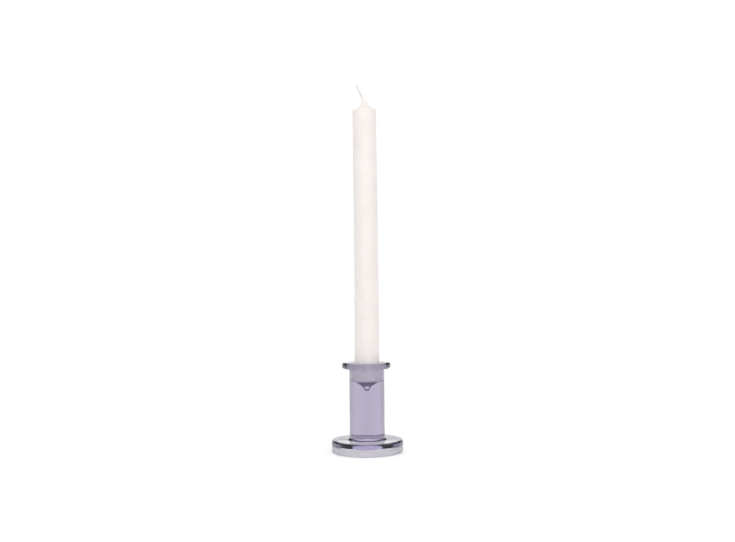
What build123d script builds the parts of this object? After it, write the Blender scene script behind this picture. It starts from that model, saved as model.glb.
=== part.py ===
from build123d import *
import os

# Glass candlestick with its dinner candle.
# Millimetres, +Z up. The origin is the centre of the face that the foot rests on.

# --- glass candlestick: one piece of pressed glass -------------------------------
foot_r = 32.9            # round foot, hollow underneath
foot_h = 11.6
foot_base_edge_r = 1.4   # small rounding where the foot's rim meets the table
foot_rim_r = 2.15        # fire-polished upper edge of the foot
recess_r = 29.4          # hollow under the foot, open downward: radius at the table
recess_wall_r = 29.2     # and at the top of its wall
recess_wall_h = 6.6
recess_tip_r = 1.5       # its ceiling is a shallow cone with a blunt tip
recess_tip_h = 10.6
recess_lip_r = 0.5
recess_corner_r = 1.4
recess_tip_round = 1.2
stem_r = 16.2            # solid cylindrical stem
stem_foot_r = 3.0        # fillet between stem and foot
height = 82.2            # table to the collar's top face
collar_r = 22.5          # flat drip collar
collar_h = 5.7
collar_edge_r = 2.2      # rounded upper and lower edges of the collar
stem_collar_r = 0.9      # fillet under the collar

socket_mouth_r = 12.1    # socket, with a little draft for the plunger
socket_wall_r = 12.0     # foot of the straight wall
socket_wall_z = 68.0
ledge_r = 11.0           # outer edge of the ledge that the candle stands above
ledge_z = 64.8
pit_r = 8.8              # funnel-shaped pit: where its upper slope would meet the ledge
pit_top_z = 64.5
pit_mid_r = 3.7          # where the slope would meet the steep part
pit_mid_z = 61.0
pit_tip_r = 1.5          # where the steep part would meet the pit's floor
pit_tip_z = 56.5
pit_floor_z = 56.2
socket_lip_r = 1.1       # rounded lip of the socket
socket_wall_round = 1.5  # straight wall to its tapered foot
socket_corner_r = 0.8    # wall to ledge
pit_rim_round = 5.0      # ledge to slope
pit_mid_round = 3.0      # slope to steep part
pit_tip_round = 1.2      # rounded point of the pit

# --- dinner candle ---------------------------------------------------------------
candle_foot_z = 65.0     # a little air is left between the candle's foot and the ledge
candle_foot_r = 9.0      # the lower end tapers, to fit sockets of several widths
candle_taper_z = 72.0
candle_r = 11.3          # straight candle, slightly thinner towards the top
candle_rim_r = 10.75
candle_rim_z = 313.8     # upper edge of the wax cylinder
candle_foot_edge_r = 0.8
candle_taper_round = 6.0
candle_rim_edge_r = 0.9
shoulder_r = 6.9         # the wax rises from the rim to the peak around the wick
shoulder_rise = 1.3
peak_base_r = 2.7
peak_base_rise = 4.7
peak_top_rise = 11.4     # top of the small wax nub that the wick leaves

# --- wick ------------------------------------------------------------------------
wick_r = 0.95
wick_lean_from = 12.0    # below the rim, where the wick starts to lean
wick_exit = (-1.3, 0.0, 11.0)    # from the candle's axis and rim
wick_bend = (-4.3, -0.4, 17.0)
wick_tip = (-7.1, -0.9, 22.9)

os.makedirs("parts", exist_ok=True)

collar_z = height - collar_h

# The candlestick is one revolved profile: hollow foot, stem, collar, socket and pit.
with BuildPart() as candlestick:
    with BuildSketch(Plane.XZ):
        with BuildLine():
            section = FilletPolyline(
                (0, recess_tip_h),
                (recess_tip_r, recess_tip_h),
                (recess_wall_r, recess_wall_h),
                (recess_r, 0),
                (foot_r, 0),
                (foot_r, foot_h),
                (stem_r, foot_h),
                (stem_r, collar_z),
                (collar_r, collar_z),
                (collar_r, height),
                (socket_mouth_r, height),
                (socket_wall_r, socket_wall_z),
                (ledge_r, ledge_z),
                (pit_r, pit_top_z),
                (pit_mid_r, pit_mid_z),
                (pit_tip_r, pit_tip_z),
                (0, pit_floor_z),
                radius=[
                    recess_tip_round,
                    recess_corner_r,
                    recess_lip_r,
                    foot_base_edge_r,
                    foot_rim_r,
                    stem_foot_r,
                    stem_collar_r,
                    collar_edge_r,
                    collar_edge_r,
                    socket_lip_r,
                    socket_wall_round,
                    socket_corner_r,
                    pit_rim_round,
                    pit_mid_round,
                    pit_tip_round,
                ],
            )
            Line(section @ 1, section @ 0)
        make_face()
    revolve(axis=Axis.Z)

# The wick runs through the whole candle and stands out of the wax nub, bent to one side.
with BuildPart() as wick:
    with BuildLine() as wick_route:
        FilletPolyline(
            (0, 0, candle_foot_z),
            (0, 0, candle_rim_z - wick_lean_from),
            (wick_exit[0], wick_exit[1], candle_rim_z + wick_exit[2]),
            (wick_bend[0], wick_bend[1], candle_rim_z + wick_bend[2]),
            (wick_tip[0], wick_tip[1], candle_rim_z + wick_tip[2]),
            radius=[60.0, 6.0, 30.0],
        )
    with BuildSketch(Plane.XY.offset(candle_foot_z)):
        Circle(wick_r)
    sweep(path=wick_route.wires()[0])
    wick_end = wick.faces().sort_by(Axis.Z)[-1]
    fillet(wick_end.edges(), 0.4)

# The wax is a long cylinder with a tapered foot, and ends in a shallow hollow cone and a small leaning nub.
with BuildPart() as candle_wax:
    with BuildSketch(Plane.XZ):
        with BuildLine():
            side = FilletPolyline(
                (0, candle_foot_z),
                (candle_foot_r, candle_foot_z),
                (candle_r, candle_taper_z),
                (candle_rim_r, candle_rim_z),
                (shoulder_r, candle_rim_z + shoulder_rise),
                radius=[candle_foot_edge_r, candle_taper_round, candle_rim_edge_r],
            )
            cone = ThreePointArc(
                side @ 1,
                (
                    0.45 * shoulder_r + 0.55 * peak_base_r - 0.25,
                    candle_rim_z + 0.45 * shoulder_rise + 0.55 * peak_base_rise - 0.75,
                ),
                (peak_base_r, candle_rim_z + peak_base_rise),
            )
            top = Line(cone @ 1, (0, candle_rim_z + peak_base_rise))
            Line(top @ 1, side @ 0)
        make_face()
    revolve(axis=Axis.Z)
    with BuildSketch(Plane.XY.offset(candle_rim_z + peak_base_rise - 0.4)):
        with Locations((0.1, 0)):
            Circle(peak_base_r - 0.05)
    with BuildSketch(Plane.XY.offset(candle_rim_z + 0.6 * peak_base_rise + 0.4 * peak_top_rise)):
        with Locations((0.1, 0)):
            Circle(2.35)
    with BuildSketch(Plane.XY.offset(candle_rim_z + peak_top_rise)):
        with Locations((-0.95, 0)):
            Circle(1.45)
    loft()
    add(wick.part, mode=Mode.SUBTRACT)

candlestick.part.label = "candlestick"
candle_wax.part.label = "candle_wax"
wick.part.label = "wick"

for piece in (candlestick, candle_wax, wick):
    export_step(piece.part, f"parts/{piece.part.label}.step")
    print(piece.part.label, round(piece.part.volume, 1), piece.part.is_valid)
print("wick length", round(wick_route.wires()[0].length, 1))
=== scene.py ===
import bpy
import math
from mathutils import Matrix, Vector


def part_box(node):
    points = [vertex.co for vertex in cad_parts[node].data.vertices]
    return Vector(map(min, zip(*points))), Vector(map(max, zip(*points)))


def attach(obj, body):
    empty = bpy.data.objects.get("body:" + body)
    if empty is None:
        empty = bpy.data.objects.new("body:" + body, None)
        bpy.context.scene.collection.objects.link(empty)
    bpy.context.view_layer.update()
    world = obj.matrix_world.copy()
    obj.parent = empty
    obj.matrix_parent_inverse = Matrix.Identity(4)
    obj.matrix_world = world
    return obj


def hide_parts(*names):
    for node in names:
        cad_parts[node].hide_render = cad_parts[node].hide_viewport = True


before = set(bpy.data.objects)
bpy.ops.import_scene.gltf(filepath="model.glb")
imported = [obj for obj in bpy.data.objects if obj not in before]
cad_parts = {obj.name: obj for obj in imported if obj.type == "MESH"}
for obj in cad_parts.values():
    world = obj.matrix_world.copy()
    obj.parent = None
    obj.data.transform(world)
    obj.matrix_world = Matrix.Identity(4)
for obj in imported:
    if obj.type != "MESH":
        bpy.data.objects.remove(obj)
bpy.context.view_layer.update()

MM = 0.001
scene = bpy.context.scene

# ---------------------------------------------------------------------------
# Frame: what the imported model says
# ---------------------------------------------------------------------------
g_lo, g_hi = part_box("candlestick")
w_lo, w_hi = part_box("candle_wax")
k_lo, k_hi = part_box("wick")
FOOT_R = (g_hi[0] - g_lo[0]) / 2 / MM
TOP_Z = g_hi[2] / MM
FOOT_Z = w_lo[2] / MM            # the candle's foot
WAX_R = (w_hi[0] - w_lo[0]) / 2 / MM
WAX_TOP = w_hi[2] / MM
WICK_TOP = k_hi[2] / MM

# ---------------------------------------------------------------------------
# Geometry helpers, in millimetres
# ---------------------------------------------------------------------------

def rounded(points, radii, step=0.22, lead=0.5):
    """A polyline through points whose inner corners are arcs, with its unit tangents."""
    out = []
    n = len(points)
    tan = {}
    arcs = {}
    for i in range(1, n - 1):
        p, q, s = Vector(points[i - 1]), Vector(points[i]), Vector(points[i + 1])
        a, b = (p - q).normalized(), (s - q).normalized()
        turn = math.pi - a.angle(b)
        r = radii[i - 1]
        t = r * math.tan(turn / 2)
        centre = q + (a + b).normalized() * (r / math.cos(turn / 2))
        arcs[i] = (q + a * t, q + b * t, centre, r, turn)
    def put(p, d):
        if not out or (out[-1][0] - p).length > 1e-5:
            out.append((p, d))
    start = Vector(points[0])
    for i in range(1, n):
        end = arcs[i][0] if i in arcs else Vector(points[i])
        run = end - start
        length = run.length
        d = run.normalized() if length > 1e-6 else Vector((0, 0))
        if length > 1e-4:
            marks = [0.0]
            x = 0.12
            while x < length / 2:
                marks.append(x)
                x += max(0.12, min(1.6, x * lead))
            marks = sorted(set(marks + [length - m for m in marks]))
            for m in marks:
                put(start + d * m, d)
        if i in arcs:
            p0, p1, c, r, turn = arcs[i]
            k = max(6, int(r * turn / step) + 1)
            a0 = math.atan2(p0.y - c.y, p0.x - c.x)
            a1 = math.atan2(p1.y - c.y, p1.x - c.x)
            da = (a1 - a0 + math.pi) % (2 * math.pi) - math.pi
            for j in range(1, k):
                a = a0 + da * j / k
                sign = 1 if da > 0 else -1
                put(c + Vector((math.cos(a), math.sin(a))) * r,
                    Vector((-math.sin(a), math.cos(a))) * sign)
            nxt = (Vector(points[i + 1]) - Vector(points[i])).normalized()
            put(p1, nxt)
            start = p1
    return out


def mesh_object(name, verts, faces, normals=None):
    mesh = bpy.data.meshes.new(name)
    mesh.from_pydata([(x * MM, y * MM, z * MM) for x, y, z in verts], [], faces)
    mesh.validate()
    mesh.update()
    for p in mesh.polygons:
        p.use_smooth = True
    if normals is not None:
        mesh.normals_split_custom_set_from_vertices(normals)
    ob = bpy.data.objects.new(name, mesh)
    scene.collection.objects.link(ob)
    return ob


def lathe(name, rings, azimuths, place, closed_ends=True, analytic=True):
    """rings: (r, z) from the axis at the bottom to the axis at the top, going outward first. place(r, z, phi) gives the point."""
    verts, faces, ids = [], [], []
    for r, z in rings:
        if r < 1e-6:
            ids.append([len(verts)])
            verts.append(place(0.0, z, 0.0))
        else:
            ids.append(list(range(len(verts), len(verts) + len(azimuths))))
            verts.extend(place(r, z, a) for a in azimuths)
    n = len(azimuths)
    for a, b in zip(ids, ids[1:]):
        for j in range(n):
            k = (j + 1) % n
            if len(a) == 1 and len(b) == 1:
                continue
            if len(a) == 1:
                faces.append((a[0], b[k], b[j]))
            elif len(b) == 1:
                faces.append((a[j], a[k], b[0]))
            else:
                faces.append((a[j], a[k], b[k], b[j]))
    normals = None
    if analytic:
        normals = []
        m = len(rings)
        for i, (r, z) in enumerate(rings):
            lo, hi = max(0, i - 1), min(m - 1, i + 1)
            for j in range(len(ids[i])):
                if len(ids[i]) == 1:
                    normals.append((0, 0, -1.0) if i == 0 else (0, 0, 1.0))
                    continue
                def at(q, jj):
                    row = ids[q]
                    return Vector(verts[row[jj % n] if len(row) > 1 else row[0]])
                here = at(i, j)
                # centred differences, each side weighted by the other's length
                ua, ub = here - at(lo, j), at(hi, j) - here
                la, lb = max(ua.length, 1e-9), max(ub.length, 1e-9)
                du = (ua / la) * lb + (ub / lb) * la if i not in (0, m - 1) else (ua + ub)
                va, vb = here - at(i, j - 1), at(i, j + 1) - here
                la, lb = max(va.length, 1e-9), max(vb.length, 1e-9)
                dv = (va / la) * lb + (vb / lb) * la
                nn = dv.cross(du)
                normals.append(tuple(nn.normalized()))
    return mesh_object(name, verts, faces, normals)


def around(n, seams=(), half_mm=1.3, at_r=33.0, fine=0.11):
    """Azimuths, closer together beside the mould seams."""
    out = set(round(2 * math.pi * i / n, 7) for i in range(n))
    for s in seams:
        k = int(half_mm / fine)
        for i in range(-k, k + 1):
            out.add(round((s + i * fine / at_r) % (2 * math.pi), 7))
    out = sorted(out)
    keep = [out[0]]
    for a in out[1:]:
        if a - keep[-1] > 0.0011:
            keep.append(a)
    return keep


def smooth(x, a, b):
    t = min(1.0, max(0.0, (x - a) / (b - a)))
    return t * t * (3 - 2 * t)

# ---------------------------------------------------------------------------
# Glass: one pressed piece, the same profile as the CAD solid
# ---------------------------------------------------------------------------
FOOT_H, STEM_R, COLLAR_R, COLLAR_H = 11.6, 16.2, 22.5, 5.7
SOCKET_MOUTH = 12.1
POINTS = [
    (0, 10.6), (1.5, 10.6), (29.2, 6.6), (29.4, 0),
    (FOOT_R, 0), (FOOT_R, FOOT_H), (STEM_R, FOOT_H),
    (STEM_R, TOP_Z - COLLAR_H), (COLLAR_R, TOP_Z - COLLAR_H), (COLLAR_R, TOP_Z),
    (SOCKET_MOUTH, TOP_Z), (12.0, 68.0), (11.0, 64.8), (8.8, 64.5), (3.7, 61.0),
    (1.5, 56.5), (0, 56.2),
]
RADII = [1.2, 1.4, 0.5, 1.4, 2.15, 3.0, 0.9, 2.2, 2.2, 1.1, 1.5, 0.8, 5.0, 3.0, 1.2]
profile = rounded(POINTS, RADII)
rings = [(p.x, p.y) for p, d in profile]
rings[0] = (0.0, rings[0][1])
rings[-1] = (0.0, rings[-1][1])
SEAM = math.radians(-29.0)
SEAMS = (SEAM, SEAM + math.pi)


def glass_point(r, z, phi):
    # fire-polished glass is never quite round or straight
    outer = smooth(r, 12.9, 14.5) * (1.0 if z > FOOT_H - 0.5 else smooth(r, 30.2, 31.7))
    wave = (
        0.030 * math.sin(2 * phi + 0.7 + z * 0.05)
        + 0.018 * math.sin(3 * phi + 2.1 - z * 0.11)
        + 0.012 * math.sin(5 * phi + z * 0.31)
    )
    swell = 0.05 * math.sin(z * 0.145 + 0.6) * smooth(z, 14, 24) * (1 - smooth(z, 66, 74))
    ridge = 0.0
    for s in SEAMS:
        d = ((phi - s + math.pi) % (2 * math.pi) - math.pi) * r
        ridge += 0.055 * math.exp(-(d / 0.32) ** 2)
    rr = r + outer * (wave * min(1.0, r / 20) + swell + ridge - 0.05)
    # the upper face of the foot sinks a little, and the collar is a little off centre
    dz = 0.0
    if z > FOOT_H - 0.6 and z < FOOT_H + 0.6 and r > STEM_R + 1:
        dz = -0.06 * smooth(r, STEM_R + 2, 24) * (1 - smooth(r, 27, 30.7)) + 0.02 * math.sin(2 * phi + 1.0)
    top = smooth(z, TOP_Z - COLLAR_H - 1.2, TOP_Z - COLLAR_H + 0.8) * smooth(r, SOCKET_MOUTH + 1.2, COLLAR_R)
    x = rr * math.cos(phi) - 0.40 * top
    y = rr * math.sin(phi)
    return (x, y, z + dz + 0.03 * top * math.sin(phi + 0.4) - 0.03 * top)


glass = lathe("candlestick_glass", rings, around(288, SEAMS), glass_point)
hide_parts("candlestick")
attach(glass, "holder")

# ---------------------------------------------------------------------------
# Candle wax
# ---------------------------------------------------------------------------
RIM = 313.8
RIM_WR = 10.75


def bow(z):
    """Sideways offset of the candle's axis: a hand-dipped candle is never quite straight."""
    t = (z - FOOT_Z) / (RIM - FOOT_Z)
    return 0.16 + 0.42 * (1 - (2 * t - 0.9) ** 2 / 1.21) - 0.10 * t


wax_profile = [(0.0, FOOT_Z), (1.6, FOOT_Z)]
body = rounded(
    [(1.6, FOOT_Z), (9.0, FOOT_Z), (11.3, FOOT_Z + 7.0), (RIM_WR, RIM), (8.2, RIM + 0.55)],
    [0.8, 6.0, 1.0], step=0.16, lead=0.6,
)
wax_profile += [(p.x, p.y) for p, d in body[1:]]
# the hollow cone up to the nub, and the nub itself
for r, h in (
    (7.6, 0.72), (6.9, 1.05), (6.2, 1.48), (5.5, 2.0), (4.85, 2.6), (4.25, 3.25), (3.7, 3.95),
    (3.25, 4.65), (2.92, 5.35), (2.70, 6.1), (2.58, 6.9), (2.52, 7.7), (2.42, 8.45), (2.22, 9.2),
    (1.95, 9.85), (1.62, 10.4), (1.32, 10.85), (1.12, 11.2), (0.98, 11.42), (0.70, 11.5),
):
    wax_profile.append((r, RIM + h))
wax_profile.append((0.0, RIM + 11.4))


def wax_point(r, z, phi):
    body_part = 1 - smooth(z, RIM - 2, RIM + 1)
    skin = (
        0.035 * math.sin(2 * phi + z * 0.021)
        + 0.025 * math.sin(3 * phi - z * 0.034 + 1.3)
        + 0.030 * math.sin(z * 0.19 + 2.0 * math.sin(phi))
    ) * body_part * smooth(z, FOOT_Z + 0.5, FOOT_Z + 14)
    h = z - RIM
    top = smooth(h, -3.0, 1.0)
    # the rim is a little higher on the right, and the shoulder there is fuller
    tilt = 0.85 * (r / RIM_WR) * (0.25 + math.cos(phi - 0.25)) * top * (1 - smooth(h, 3.0, 6.0))
    lump = 0.35 * math.sin(2 * phi + 0.8) * top * smooth(r, 2.4, 5.0) * (1 - smooth(r, 9.5, 10.9))
    # the nub leans to where the wick leaves it
    lean = 0.0
    if h > 3.5:
        lean = 0.38 * smooth(h, 3.5, 6.0) - 1.75 * smooth(h, 7.0, 11.4) ** 1.2
    nub = 1 + 0.06 * math.sin(2 * phi + 0.4) * smooth(h, 4, 7)
    rr = (r + skin * min(1.0, r / 6)) * nub
    return (
        rr * math.cos(phi) + bow(min(z, RIM)) + lean,
        rr * math.sin(phi) + (-0.15 * smooth(h, 7, 11.4) if h > 7 else 0.0),
        z + tilt + lump,
    )


wax = lathe("candle_wax_body", wax_profile, around(160), wax_point)
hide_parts("candle_wax")
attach(wax, "candle")

# ---------------------------------------------------------------------------
# Wick: a braid of three plies, each a twisted bundle of yarns
# ---------------------------------------------------------------------------
bx = bow(RIM)
route_pts = [
    Vector((bow(FOOT_Z), 0, FOOT_Z - 0.15)),
    Vector((bow(FOOT_Z + 60), 0, FOOT_Z + 60)),
    Vector((bow(FOOT_Z + 130), 0, FOOT_Z + 130)),
    Vector((bow(RIM - 40), 0, RIM - 40)),
    Vector((bx, 0, RIM - 8)),
    Vector((bx - 0.2, 0, RIM + 3)),
    Vector((bx - 1.25, -0.1, RIM + 9.5)),
    Vector((bx - 1.75, -0.18, RIM + 11.4)),
    Vector((bx - 3.0, -0.32, RIM + 14.0)),
    Vector((bx - 4.7, -0.5, RIM + 17.3)),
    Vector((bx - 6.45, -0.72, RIM + 21.0)),
    Vector((bx - 7.25, -0.86, WICK_TOP - 0.35)),
]


def catmull(pts, per_mm):
    """Points along a smooth curve through pts, spaced about evenly."""
    pts = [pts[0] * 2 - pts[1]] + list(pts) + [pts[-1] * 2 - pts[-2]]
    out = []
    for i in range(1, len(pts) - 2):
        p0, p1, p2, p3 = pts[i - 1: i + 3]
        t0 = 0.0
        t1 = t0 + (p1 - p0).length ** 0.5
        t2 = t1 + (p2 - p1).length ** 0.5
        t3 = t2 + (p3 - p2).length ** 0.5
        k = max(2, int((p2 - p1).length * per_mm))
        for j in range(k):
            t = t1 + (t2 - t1) * j / k
            a1 = p0 * ((t1 - t) / (t1 - t0)) + p1 * ((t - t0) / (t1 - t0))
            a2 = p1 * ((t2 - t) / (t2 - t1)) + p2 * ((t - t1) / (t2 - t1))
            a3 = p2 * ((t3 - t) / (t3 - t2)) + p3 * ((t - t2) / (t3 - t2))
            b1 = a1 * ((t2 - t) / (t2 - t0)) + a2 * ((t - t0) / (t2 - t0))
            b2 = a2 * ((t3 - t) / (t3 - t1)) + a3 * ((t - t1) / (t3 - t1))
            out.append(b1 * ((t2 - t) / (t2 - t1)) + b2 * ((t - t1) / (t2 - t1)))
    out.append(pts[-2].copy())
    return out


route = catmull(route_pts, 3.2)
dist = [0.0]
for a, b in zip(route, route[1:]):
    dist.append(dist[-1] + (b - a).length)
TOTAL = dist[-1]


def along(s):
    s = min(max(s, 0.0), TOTAL - 1e-6)
    lo, hi = 0, len(dist) - 1
    while hi - lo > 1:
        mid = (lo + hi) // 2
        if dist[mid] <= s:
            lo = mid
        else:
            hi = mid
    t = (s - dist[lo]) / (dist[hi] - dist[lo])
    p = route[lo].lerp(route[hi], t)
    d = (route[hi] - route[lo]).normalized()
    return p, d


def wick_mesh():
    verts, faces = [], []
    pitch = 3.3
    free_from = TOTAL - 27.0     # the stretch near and above the nub is made finer
    sides = 9
    for ply in range(3):
        shift = ply * 2 * math.pi / 3
        s, marks = 0.0, []
        while s < TOTAL:
            marks.append(s)
            s += 0.22 if s > free_from else 0.55
        marks.append(TOTAL)
        ids = []
        pts = []
        for s in marks:
            p, d = along(s)
            side = Vector((0, 1, 0)).cross(d).normalized()      # across, in the plane of the bend
            deep = d.cross(side).normalized()
            t = 2 * math.pi * s / pitch + shift
            spread = 1.0
            if TOTAL - s < 2.2:                                 # the cut end opens a little
                spread = 1.0 + 0.25 * (1 - (TOTAL - s) / 2.2)
            off = side * (0.46 * math.sin(t) * spread) + deep * (0.30 * math.sin(2 * t) * spread)
            pts.append(p + off)
        for i, s in enumerate(marks):
            a, b = pts[max(0, i - 1)], pts[min(len(pts) - 1, i + 1)]
            d = (b - a).normalized()
            u = Vector((0, 1, 0)).cross(d)
            u = (u if u.length > 1e-3 else Vector((1, 0, 0))).normalized()
            v = d.cross(u).normalized()
            ring = []
            taper = 1.0
            left = TOTAL - s
            if left < 0.9:
                taper = 0.55 + 0.45 * (left / 0.9) ** 0.5
            for k in range(sides):
                th = 2 * math.pi * k / sides
                lobe = 1 + 0.13 * math.cos(3 * th + 2 * math.pi * s / 1.25 + ply)
                rad = 0.42 * lobe * taper
                q = pts[i] + (u * math.cos(th) + v * math.sin(th)) * rad
                ring.append(len(verts))
                verts.append(tuple(q))
            ids.append(ring)
        for a, b in zip(ids, ids[1:]):
            for k in range(sides):
                m = (k + 1) % sides
                faces.append((a[k], a[m], b[m], b[k]))
        for ring, flip, centre in ((ids[0], True, pts[0]), (ids[-1], False, pts[-1])):
            c = len(verts)
            verts.append(tuple(centre))
            for k in range(sides):
                m = (k + 1) % sides
                faces.append((c, ring[m], ring[k]) if flip else (c, ring[k], ring[m]))
    return mesh_object("wick_braid", verts, faces)


wick = wick_mesh()
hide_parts("wick")
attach(wick, "candle")

# ---------------------------------------------------------------------------
# Materials
# ---------------------------------------------------------------------------

def new_material(name):
    m = bpy.data.materials.new(name)
    m.use_nodes = True
    nt = m.node_tree
    for n in list(nt.nodes):
        nt.nodes.remove(n)
    out = nt.nodes.new("ShaderNodeOutputMaterial")
    p = nt.nodes.new("ShaderNodeBsdfPrincipled")
    nt.links.new(p.outputs[0], out.inputs["Surface"])
    return m, nt, p, out


def node(nt, kind, **values):
    n = nt.nodes.new(kind)
    for k, v in values.items():
        setattr(n, k, v)
    return n


# tinted glass: the tint comes from its depth
glass_m, nt, p, out = new_material("tinted_glass")
p.inputs["IOR"].default_value = 1.5
coords = node(nt, "ShaderNodeTexCoord")
smear = node(nt, "ShaderNodeTexNoise")
smear.inputs["Scale"].default_value = 90.0
smear.inputs["Detail"].default_value = 3.0
nt.links.new(coords.outputs["Object"], smear.inputs["Vector"])
to_rough = node(nt, "ShaderNodeMapRange")
to_rough.inputs["From Min"].default_value = 0.45
to_rough.inputs["From Max"].default_value = 0.75
to_rough.inputs["To Min"].default_value = 0.0
to_rough.inputs["To Max"].default_value = 0.035
nt.links.new(smear.outputs[0], to_rough.inputs["Value"])
sep = node(nt, "ShaderNodeSeparateXYZ")
nt.links.new(coords.outputs["Object"], sep.inputs[0])
plan = node(nt, "ShaderNodeCombineXYZ")
nt.links.new(sep.outputs["X"], plan.inputs["X"])
nt.links.new(sep.outputs["Y"], plan.inputs["Y"])
radius = node(nt, "ShaderNodeVectorMath", operation="LENGTH")
nt.links.new(plan.outputs[0], radius.inputs[0])


def between(value, off, on):
    """0 at off, 1 at on, in millimetres, of a length in metres."""
    n = node(nt, "ShaderNodeMapRange")
    n.inputs["From Min"].default_value = off * MM
    n.inputs["From Max"].default_value = on * MM
    nt.links.new(value, n.inputs["Value"])
    return n.outputs[0]


def math_node(kind, a, b, c=None):
    n = node(nt, "ShaderNodeMath", operation=kind)
    for k, v in enumerate((a, b, c)):
        if v is None:
            continue
        if isinstance(v, float):
            n.inputs[k].default_value = v
        else:
            nt.links.new(v, n.inputs[k])
    return n.outputs[0]


# a film of old wax on the socket's wall
film = math_node("MULTIPLY", between(radius.outputs["Value"], 12.6, 12.4), between(sep.outputs["Z"], 64.6, 66.0))
# the wall of the hollow underside is satin from the mould
satin = math_node("MULTIPLY", between(radius.outputs["Value"], 30.2, 29.9), between(sep.outputs["Z"], 6.6, 5.8))
through = math_node("MULTIPLY_ADD", film, -0.85, 1.0)
nt.links.new(math_node("MULTIPLY_ADD", satin, -0.30, through), p.inputs["Transmission Weight"])
soft = math_node("MULTIPLY_ADD", film, 0.40, to_rough.outputs[0])
nt.links.new(math_node("MULTIPLY_ADD", satin, 0.40, soft), p.inputs["Roughness"])
tint = node(nt, "ShaderNodeMix", data_type="RGBA")
tint.inputs[6].default_value = (1, 1, 1, 1)
tint.inputs[7].default_value = (0.95, 0.90, 1.0, 1)
nt.links.new(math_node("MULTIPLY_ADD", satin, 0.5, film), tint.inputs[0])
nt.links.new(tint.outputs[2], p.inputs["Base Color"])
absorb = node(nt, "ShaderNodeVolumeAbsorption")
SIGMA = (26.5, 29.2, 19.8)       # per metre
DENSITY = 32.0
absorb.inputs["Density"].default_value = DENSITY
absorb.inputs["Color"].default_value = (*[1 - s / DENSITY for s in SIGMA], 1)
nt.links.new(absorb.outputs[0], out.inputs["Volume"])
glass.data.materials.append(glass_m)

# candle wax: soft light inside, a faint bloom and fine dipping marks outside
wax_m, nt, p, out = new_material("candle_wax")
coords = node(nt, "ShaderNodeTexCoord")
mott = node(nt, "ShaderNodeTexNoise")
mott.inputs["Scale"].default_value = 60.0
mott.inputs["Detail"].default_value = 6.0
mott.inputs["Roughness"].default_value = 0.62
nt.links.new(coords.outputs["Object"], mott.inputs["Vector"])
ramp = node(nt, "ShaderNodeValToRGB")
ramp.color_ramp.elements[0].position = 0.30
ramp.color_ramp.elements[0].color = (0.725, 0.68, 0.662, 1)
ramp.color_ramp.elements[1].position = 0.72
ramp.color_ramp.elements[1].color = (0.775, 0.738, 0.718, 1)
nt.links.new(mott.outputs[0], ramp.inputs[0])
nt.links.new(ramp.outputs[0], p.inputs["Base Color"])
p.inputs["Subsurface Weight"].default_value = 0.65
p.inputs["Subsurface Radius"].default_value = (1.0, 0.82, 0.66)
p.inputs["Subsurface Scale"].default_value = 0.0035
p.inputs["IOR"].default_value = 1.44
rough = node(nt, "ShaderNodeMapRange")
rough.inputs["To Min"].default_value = 0.36
rough.inputs["To Max"].default_value = 0.58
nt.links.new(mott.outputs[0], rough.inputs["Value"])
nt.links.new(rough.outputs[0], p.inputs["Roughness"])
stretch = node(nt, "ShaderNodeMapping")
stretch.inputs["Scale"].default_value = (420.0, 420.0, 26.0)
nt.links.new(coords.outputs["Object"], stretch.inputs["Vector"])
lines = node(nt, "ShaderNodeTexNoise")
lines.inputs["Scale"].default_value = 1.0
lines.inputs["Detail"].default_value = 4.0
nt.links.new(stretch.outputs[0], lines.inputs["Vector"])
bump = node(nt, "ShaderNodeBump")
bump.inputs["Strength"].default_value = 0.10
bump.inputs["Distance"].default_value = 0.0003
nt.links.new(lines.outputs[0], bump.inputs["Height"])
nt.links.new(bump.outputs[0], p.inputs["Normal"])
wax.data.materials.append(wax_m)

# cotton wick, soaked with wax
wick_m, nt, p, out = new_material("cotton_wick")
coords = node(nt, "ShaderNodeTexCoord")
fib = node(nt, "ShaderNodeTexNoise")
fib.inputs["Scale"].default_value = 2600.0
fib.inputs["Detail"].default_value = 3.0
nt.links.new(coords.outputs["Object"], fib.inputs["Vector"])
ramp = node(nt, "ShaderNodeValToRGB")
ramp.color_ramp.elements[0].position = 0.3
ramp.color_ramp.elements[0].color = (0.58, 0.575, 0.53, 1)
ramp.color_ramp.elements[1].position = 0.7
ramp.color_ramp.elements[1].color = (0.80, 0.795, 0.755, 1)
nt.links.new(fib.outputs[0], ramp.inputs[0])
nt.links.new(ramp.outputs[0], p.inputs["Base Color"])
p.inputs["Roughness"].default_value = 0.62
bump = node(nt, "ShaderNodeBump")
bump.inputs["Strength"].default_value = 0.4
bump.inputs["Distance"].default_value = 0.0001
nt.links.new(fib.outputs[0], bump.inputs["Height"])
nt.links.new(bump.outputs[0], p.inputs["Normal"])
wick.data.materials.append(wick_m)

# ---------------------------------------------------------------------------
# Stage: floor, light, camera
# ---------------------------------------------------------------------------

def disc(name, r, z, n=128):
    verts = [(0, 0, z)] + [(r * math.cos(2 * math.pi * i / n), r * math.sin(2 * math.pi * i / n), z) for i in range(n)]
    return mesh_object(name, verts, [(0, 1 + i, 1 + (i + 1) % n) for i in range(n)])


floor = disc("studio_floor", 6000.0, -0.15)
floor_m, nt, p, out = new_material("studio_floor")
p.inputs["Base Color"].default_value = (0.58, 0.58, 0.58, 1)
p.inputs["Roughness"].default_value = 0.9
p.inputs["Specular IOR Level"].default_value = 0.0
p.inputs["Emission Color"].default_value = (1, 1, 1, 1)
p.inputs["Emission Strength"].default_value = 0.42
floor.data.materials.append(floor_m)


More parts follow.
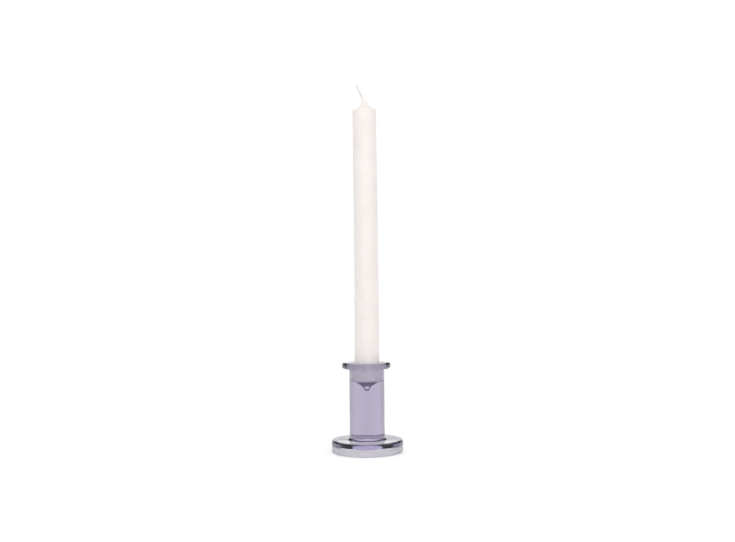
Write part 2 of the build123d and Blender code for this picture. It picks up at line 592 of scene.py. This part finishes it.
def side_card(name, side, inner=(60.0, 0.3), outer=(350.0, 50.0), n=48):
    """A low curved card that slopes up beside the set, only seen through the glass, that tones down the stem's edges."""
    verts, faces, level = [], [], []
    for i in range(n + 1):
        deg = 10.0 + 120.0 * i / n          # from straight behind, towards the side
        a = math.radians(90.0 - side * deg)
        verts += [(r * math.cos(a), r * math.sin(a), z) for r, z in (inner, outer)]
        level += [1.05 - 0.46 * smooth(deg, 16, 64) * (1 - smooth(deg, 100, 130))] * 2
        if i < n:
            faces.append((2 * i, 2 * i + 1, 2 * i + 3, 2 * i + 2))
    ob = mesh_object(name, verts, faces)
    tone = ob.data.attributes.new("tone", "FLOAT", "POINT")
    for i, v in enumerate(level):
        tone.data[i].value = v
    m, nt, p, out = new_material(name)
    p.inputs["Base Color"].default_value = (0, 0, 0, 1)
    p.inputs["Specular IOR Level"].default_value = 0.0
    p.inputs["Emission Color"].default_value = (1, 1, 1, 1)
    read = node(nt, "ShaderNodeAttribute")
    read.attribute_name = "tone"
    nt.links.new(read.outputs["Fac"], p.inputs["Emission Strength"])
    ob.data.materials.append(m)
    ob.visible_camera = ob.visible_diffuse = ob.visible_glossy = ob.visible_shadow = False
    return ob


side_card("side_card_right", 1)
side_card("side_card_left", -1)

world = bpy.data.worlds.new("studio")
scene.world = world
world.use_nodes = True
nt = world.node_tree
for n in list(nt.nodes):
    nt.nodes.remove(n)
out = nt.nodes.new("ShaderNodeOutputWorld")
bg = nt.nodes.new("ShaderNodeBackground")
nt.links.new(bg.outputs[0], out.inputs["Surface"])
coords = nt.nodes.new("ShaderNodeTexCoord")
split = nt.nodes.new("ShaderNodeSeparateXYZ")
nt.links.new(coords.outputs["Generated"], split.inputs[0])
ramp = nt.nodes.new("ShaderNodeValToRGB")
nt.links.new(split.outputs["Z"], ramp.inputs[0])
ramp.color_ramp.interpolation = "EASE"
e = ramp.color_ramp.elements
LEVELS = ((14.0, 0.805), (18.0, 0.06), (29.0, 0.06), (34.0, 1.25), (42.0, 1.0), (72.0, 1.0))
for k, (deg, level) in enumerate(LEVELS):
    stop = e[k] if k < 2 else e.new(0.9)
    stop.position = math.sin(math.radians(deg))
    stop.color = (level, level, level, 1)
nt.links.new(ramp.outputs[0], bg.inputs["Color"])
bg.inputs["Strength"].default_value = 1.27


def area(name, loc, at, size, watts, size_y=None, glass_sees=False):
    data = bpy.data.lights.new(name, "AREA")
    data.shape = "RECTANGLE"
    data.size = size
    data.size_y = size_y or size
    data.energy = watts
    ob = bpy.data.objects.new(name, data)
    ob.location = loc
    ob.rotation_euler = (Vector(at) - Vector(loc)).to_track_quat("-Z", "Y").to_euler()
    scene.collection.objects.link(ob)
    ob.visible_camera = False
    ob.visible_transmission = glass_sees
    ob.visible_glossy = glass_sees
    return ob


area("front_soft", (0.12, -1.6, 0.6), (0, 0, 0.15), 0.7, 8.0, glass_sees=True)

cam_data = bpy.data.cameras.new("camera")
cam_data.sensor_width = 36.0
cam_data.lens = 1058.3 * 36.0 / 735.0
cam = bpy.data.objects.new("camera", cam_data)
cam.location = (1.65 * MM, -972 * MM, 165.86 * MM)
cam.rotation_euler = (math.radians(90), math.radians(0.573), 0)
cam_data.clip_start = 0.01
cam_data.clip_end = 50
scene.collection.objects.link(cam)
scene.camera = cam
scene.view_settings.view_transform = "Standard"
scene.view_settings.look = "None"
